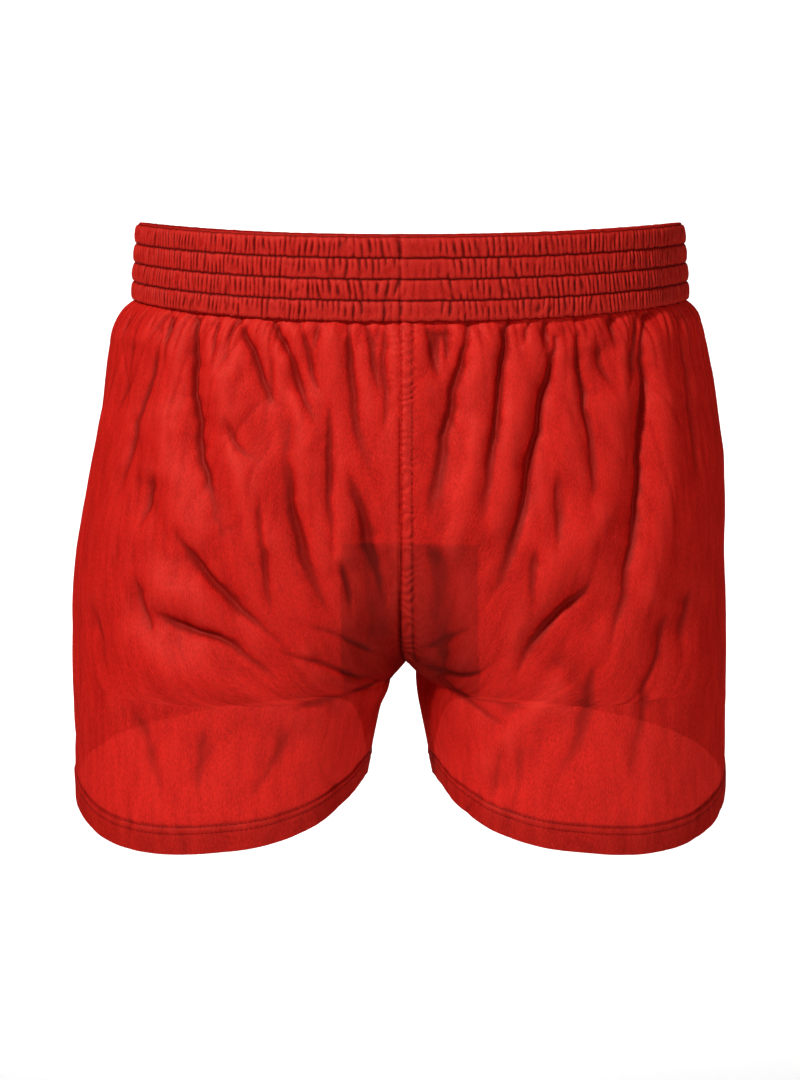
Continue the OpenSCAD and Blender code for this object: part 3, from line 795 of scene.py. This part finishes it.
def linear(colour):
    """A linear colour from an sRGB hex value."""
    values = [int(colour[i : i + 2], 16) / 255 for i in (1, 3, 5)]
    return (*(v / 12.92 if v <= 0.04045 else ((v + 0.055) / 1.055) ** 2.4 for v in values), 1.0)


def add(tree, kind, settings=None, links=None):
    """A node with its settings, and its inputs set to values or linked to outputs."""
    node = tree.nodes.new(kind)
    for key, value in (settings or {}).items():
        setattr(node, key, value)
    for key, value in (links or {}).items():
        if isinstance(value, bpy.types.NodeSocket):
            tree.links.new(value, node.inputs[key])
        else:
            node.inputs[key].default_value = value
    return node


def new_material(name):
    material = bpy.data.materials.new(name)
    material.use_nodes = True
    material.node_tree.nodes.clear()
    return material, material.node_tree


def satin(name, light, deep, crest, valley, see_through, glow):
    """Polyester satin, woven: a soft long highlight, fine diagonal ribs and a little light through it."""
    material, tree = new_material(name)
    flat = add(tree, "ShaderNodeUVMap", {"uv_map": "cloth"})
    # the floats lie diagonally: real threads are 0.1 mm apart, drawn 0.5 mm wide so that they show
    ribs = add(tree, "ShaderNodeMapping", None, {
        "Vector": flat.outputs[0], "Rotation": (0, 0, math.radians(62)), "Scale": (1.0, 0.28, 1.0)})
    weave = add(tree, "ShaderNodeTexNoise", None, {
        "Vector": ribs.outputs[0], "Scale": 1 / (0.5 * MM), "Detail": 1.0, "Roughness": 0.5})
    grain = add(tree, "ShaderNodeTexNoise", None, {
        "Vector": flat.outputs[0], "Scale": 1 / (0.8 * MM), "Detail": 2.0, "Roughness": 0.7})
    streaked = add(tree, "ShaderNodeMapping", None, {"Vector": flat.outputs[0], "Scale": (1.0, 0.16, 1.0)})
    streak = add(tree, "ShaderNodeTexNoise", None, {
        "Vector": streaked.outputs[0], "Scale": 1 / (3.5 * MM), "Detail": 4.0, "Roughness": 0.6})
    crumple = add(tree, "ShaderNodeTexNoise", None, {
        "Vector": flat.outputs[0], "Scale": 1 / (9 * MM), "Detail": 3.0, "Roughness": 0.55,
        "Distortion": 0.6})
    together = add(tree, "ShaderNodeMath", {"operation": "MULTIPLY_ADD"}, {
        0: grain.outputs["Fac"], 1: 0.6, 2: weave.outputs["Fac"]})
    shade = add(tree, "ShaderNodeMath", {"operation": "MULTIPLY_ADD"}, {
        0: streak.outputs["Fac"], 1: 0.9, 2: together.outputs[0]})
    share = add(tree, "ShaderNodeMapRange", None, {
        "Value": shade.outputs[0], "From Min": 0.88, "From Max": 1.55, "To Min": 0.0, "To Max": 1.0})
    colour = add(tree, "ShaderNodeMix", {"data_type": "RGBA"}, {
        "Factor": share.outputs[0], 6: linear(deep), 7: linear(light)})
    # painted shade: the colour darkens towards the valley colour in the bottoms of the folds; painted
    # highlight: it lightens towards the crest colour on their tops
    lie = add(tree, "ShaderNodeAttribute", {"attribute_name": "lie"})
    low = add(tree, "ShaderNodeMapRange", None, {
        "Value": lie.outputs["Fac"], "From Min": -0.05, "From Max": -1.0, "To Min": 0.0, "To Max": 0.8})
    high = add(tree, "ShaderNodeMapRange", None, {
        "Value": lie.outputs["Fac"], "From Min": 0.0, "From Max": 1.0, "To Min": 0.0, "To Max": 0.35})
    # two layers of the thin satin read deeper than one; the same mix also paints shade, for the light that
    # the layers and the thighs hold back
    layers_and_shade = add(tree, "ShaderNodeAttribute", {"attribute_name": "layers_and_shade"})
    both = add(tree, "ShaderNodeMath", {"operation": "MULTIPLY_ADD", "use_clamp": True}, {
        0: layers_and_shade.outputs["Fac"], 1: 0.42, 2: low.outputs[0]})
    shaded_colour = add(tree, "ShaderNodeMix", {"data_type": "RGBA"}, {
        "Factor": both.outputs[0], 6: colour.outputs[2], 7: linear(valley)})
    colour = add(tree, "ShaderNodeMix", {"data_type": "RGBA"}, {
        "Factor": high.outputs[0], 6: shaded_colour.outputs[2], 7: linear(crest)})
    shine = add(tree, "ShaderNodeMapRange", None, {
        "Value": together.outputs[0], "From Min": 0.2, "From Max": 1.5, "To Min": 0.68, "To Max": 0.54})
    wrinkle = add(tree, "ShaderNodeBump", None, {
        "Strength": 0.35, "Distance": 0.5 * MM, "Height": crumple.outputs["Fac"]})
    threads = add(tree, "ShaderNodeBump", None, {
        "Strength": 0.8, "Distance": 0.18 * MM, "Height": together.outputs[0],
        "Normal": wrinkle.outputs[0]})
    cloth = add(tree, "ShaderNodeBsdfPrincipled", None, {
        "Base Color": colour.outputs[2], "Roughness": shine.outputs[0], "Normal": threads.outputs[0],
        "Specular IOR Level": 0.0})
    # the lustre comes out of the dyed threads, so it is red and has no white rim
    lustre = add(tree, "ShaderNodeBsdfAnisotropic", None, {
        "Color": linear("#ff8273"), "Roughness": shine.outputs[0], "Normal": threads.outputs[0]})
    cloth = add(tree, "ShaderNodeMixShader", None, {0: 0.065, 1: cloth.outputs[0], 2: lustre.outputs[0]})
    through = add(tree, "ShaderNodeBsdfTranslucent", None, {
        "Color": colour.outputs[2], "Normal": threads.outputs[0]})
    body = add(tree, "ShaderNodeMixShader", None, {0: glow, 1: cloth.outputs[0], 2: through.outputs[0]})
    clear = add(tree, "ShaderNodeBsdfTransparent", None, {"Color": linear("#e03028")})
    whole = add(tree, "ShaderNodeMixShader", None, {
        0: see_through, 1: body.outputs[0], 2: clear.outputs[0]})
    add(tree, "ShaderNodeOutputMaterial", None, {"Surface": whole.outputs[0]})
    return material


def thread_material():
    """Spun polyester sewing thread: duller than the satin, with a twist."""
    material, tree = new_material("sewing_thread")
    place_at = add(tree, "ShaderNodeTexCoord")
    twist = add(tree, "ShaderNodeTexNoise", None, {
        "Vector": place_at.outputs["Object"], "Scale": 1 / (0.5 * MM), "Detail": 2.0})
    colour = add(tree, "ShaderNodeMix", {"data_type": "RGBA"}, {
        "Factor": twist.outputs["Fac"], 6: linear("#5a0604"), 7: linear("#8f100b")})
    bump = add(tree, "ShaderNodeBump", None, {
        "Strength": 0.5, "Distance": 0.1 * MM, "Height": twist.outputs["Fac"]})
    shader = add(tree, "ShaderNodeBsdfPrincipled", None, {
        "Base Color": colour.outputs[2], "Roughness": 0.6, "Specular IOR Level": 0.1,
        "Normal": bump.outputs[0]})
    add(tree, "ShaderNodeOutputMaterial", None, {"Surface": shader.outputs[0]})
    return material


def elastic_material():
    """Knitted elastic webbing: off-white polyester over rubber, with ribs along it."""
    material, tree = new_material("elastic_webbing")
    flat = add(tree, "ShaderNodeUVMap", {"uv_map": "cloth"})
    knit = add(tree, "ShaderNodeTexWave", {"wave_type": "BANDS", "bands_direction": "X"}, {
        "Vector": flat.outputs[0], "Scale": 1 / (1.0 * MM) / 20 * 3.1, "Distortion": 1.0, "Detail": 2.0})
    colour = add(tree, "ShaderNodeMix", {"data_type": "RGBA"}, {
        "Factor": knit.outputs["Fac"], 6: linear("#c9c2b6"), 7: linear("#eeebe4")})
    bump = add(tree, "ShaderNodeBump", None, {
        "Strength": 0.6, "Distance": 0.2 * MM, "Height": knit.outputs["Fac"]})
    shader = add(tree, "ShaderNodeBsdfPrincipled", None, {
        "Base Color": colour.outputs[2], "Roughness": 0.8, "Normal": bump.outputs[0]})
    add(tree, "ShaderNodeOutputMaterial", None, {"Surface": shader.outputs[0]})
    return material


def plain_material(name, colour, roughness):
    material, tree = new_material(name)
    shader = add(tree, "ShaderNodeBsdfPrincipled", None, {
        "Base Color": linear(colour), "Roughness": roughness})
    add(tree, "ShaderNodeOutputMaterial", None, {"Surface": shader.outputs[0]})
    return material


# each satin: two base tones, then the colour of its painted highlight on crests and of its painted shade
# in valleys
red_satin = satin("red_satin", "#de1f17", "#a40805", "#ee382d", "#640201", 0.10, 0.14)
inner_satin = satin("red_satin_inside", "#c41a13", "#a30b07", "#d02a20", "#6e0402", 0.02, 0.12)
thread = thread_material()
webbing = elastic_material()

# ---- the pieces on their bodies ----


def dress(piece, material, slot_name, *nodes):
    piece.data.materials.append(material)
    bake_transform(piece)
    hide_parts(*nodes)
    return piece


for face in FACES:
    for side in SIDES:
        end = f"{FACES[face]}_{SIDES[side]}"
        panel = dress(make_panel(side, face), red_satin, "satin", f"{FACES[face]}_panel_{SIDES[side]}")
        hem = dress(make_hem(side, face), inner_satin, "satin", f"hem_{end}")
        band = dress(make_waistband(side, face), red_satin, "satin", f"waistband_{end}")
        hem_rows = dress(hem_stitches(side, face), thread, "sewing_thread", f"hem_stitching_{end}")

for face in FACES:
    dress(waist_stitches(face), thread, "sewing_thread", f"waist_stitching_{FACES[face]}")
dress(fly_stitches(), thread, "sewing_thread", "fly_stitching")
for number in range(1, channels + 1):
    dress(make_elastic(number), webbing, "elastic_webbing", f"elastic_{number}")

lining = dress(make_lining(), inner_satin, "inner_satin", "crotch_lining")

rise_levels = np.linspace(-band_h - 1 * MM, -crotch + 14 * MM, 180)
strip = make_strip("fly_strip_cloth", LEFT, FRONT, rise_levels, np.zeros(180),
                   u_at_x(LEFT, FRONT, fly_w, rise_levels), 8, -0.7 * MM)
dress(strip, inner_satin, "inner_satin", "fly_strip")
strip = make_strip("back_seam_allowance_cloth", RIGHT, BACK, rise_levels, np.zeros(180),
                   u_at_x(RIGHT, BACK, 9 * MM, rise_levels), 8, -0.7 * MM)
dress(strip, inner_satin, "inner_satin", "back_seam_allowance")
for side in SIDES:
    levels = np.linspace(-band_h - 1 * MM, -side_l + hem_h + 1 * MM, 220)
    wide = 1 - np.arcsin((9 * MM / half_d(BACK, levels)) ** (corner_power / 2)) / (math.pi - 0.9)
    strip = make_strip(f"side_seam_allowance_{SIDES[side]}_cloth", side, BACK, levels, wide,
                       np.ones(220), 8, -0.7 * MM)
    dress(strip, inner_satin, "inner_satin", f"side_seam_allowance_{SIDES[side]}")
    levels = np.linspace(-crotch - 3 * MM, -side_l + hem_h + 1 * MM, 60)
    wide = np.arcsin((9 * MM / half_d(BACK, levels)) ** (corner_power / 2)) / math.pi
    strip = make_strip(f"inseam_allowance_{SIDES[side]}_cloth", side, BACK, levels, np.zeros(60),
                       wide, 8, -0.7 * MM)
    dress(strip, inner_satin, "inner_satin", f"inseam_allowance_{SIDES[side]}")

# ---- camera, light and floor ----

scene = bpy.context.scene
aim = Vector((0, 0, -looks_down_to))
view_tall = 588.6 * MM           # how much of the plane of the side seams the view takes in, bottom to top
camera_data = bpy.data.cameras.new("camera")
camera = bpy.data.objects.new("camera", camera_data)
scene.collection.objects.link(camera)
camera.location = (0, -eye_distance, 0)
camera.rotation_euler = (aim - camera.location).to_track_quat("-Z", "Y").to_euler()
camera_data.sensor_fit = "VERTICAL"
camera_data.sensor_height = 36
camera_data.lens = 36 * (aim - camera.location).length / view_tall
camera_data.clip_end = 50
scene.camera = camera


def area_light(name, place_at, towards, size, watts):
    data = bpy.data.lights.new(name, "AREA")
    data.shape = "DISK"
    data.size = size
    data.energy = watts
    lamp = bpy.data.objects.new(name, data)
    scene.collection.objects.link(lamp)
    lamp.location = place_at
    lamp.rotation_euler = (Vector(towards) - Vector(place_at)).to_track_quat("-Z", "Y").to_euler()
    return lamp


middle = (0, 0, -0.17)
area_light("key", (-0.95, -1.20, 1.10), middle, 0.25, 36)
area_light("fill", (1.3, -1.4, 0.3), middle, 0.6, 6)
sweep_light = area_light("sweep", (0, 1.2, 1.8), (0, 2.9, -0.4), 2.4, 40)
sweep_light.data.spread = math.radians(100)

world = bpy.data.worlds.new("studio")
world.use_nodes = True
world.node_tree.nodes["Background"].inputs[0].default_value = (1, 1, 1, 1)
world.node_tree.nodes["Background"].inputs[1].default_value = 0.17
scene.world = world
scene.view_settings.view_transform = "Standard"

# a white sweep: flat under the shorts, curving up behind them
floor_z = -0.75
curve_r = 1.2
floor_end = 2.4
profile = [(-4.0, floor_z), (floor_end, floor_z)]
for a in np.linspace(0, math.pi / 2, 25)[1:]:
    profile.append((floor_end + curve_r * math.sin(a), floor_z + curve_r * (1 - math.cos(a))))
profile.append((floor_end + curve_r, 5.0))
points = np.array([(x, y, z) for y, z in profile for x in (-5.0, 5.0)])
index = np.arange(len(points)).reshape(-1, 2)
quads = np.stack([index[:-1, 0], index[:-1, 1], index[1:, 1], index[1:, 0]], axis=-1)
sweep = quad_mesh("studio_sweep", points, quads)
sweep.data.materials.append(plain_material("white_paper", "#fafafa", 0.9))
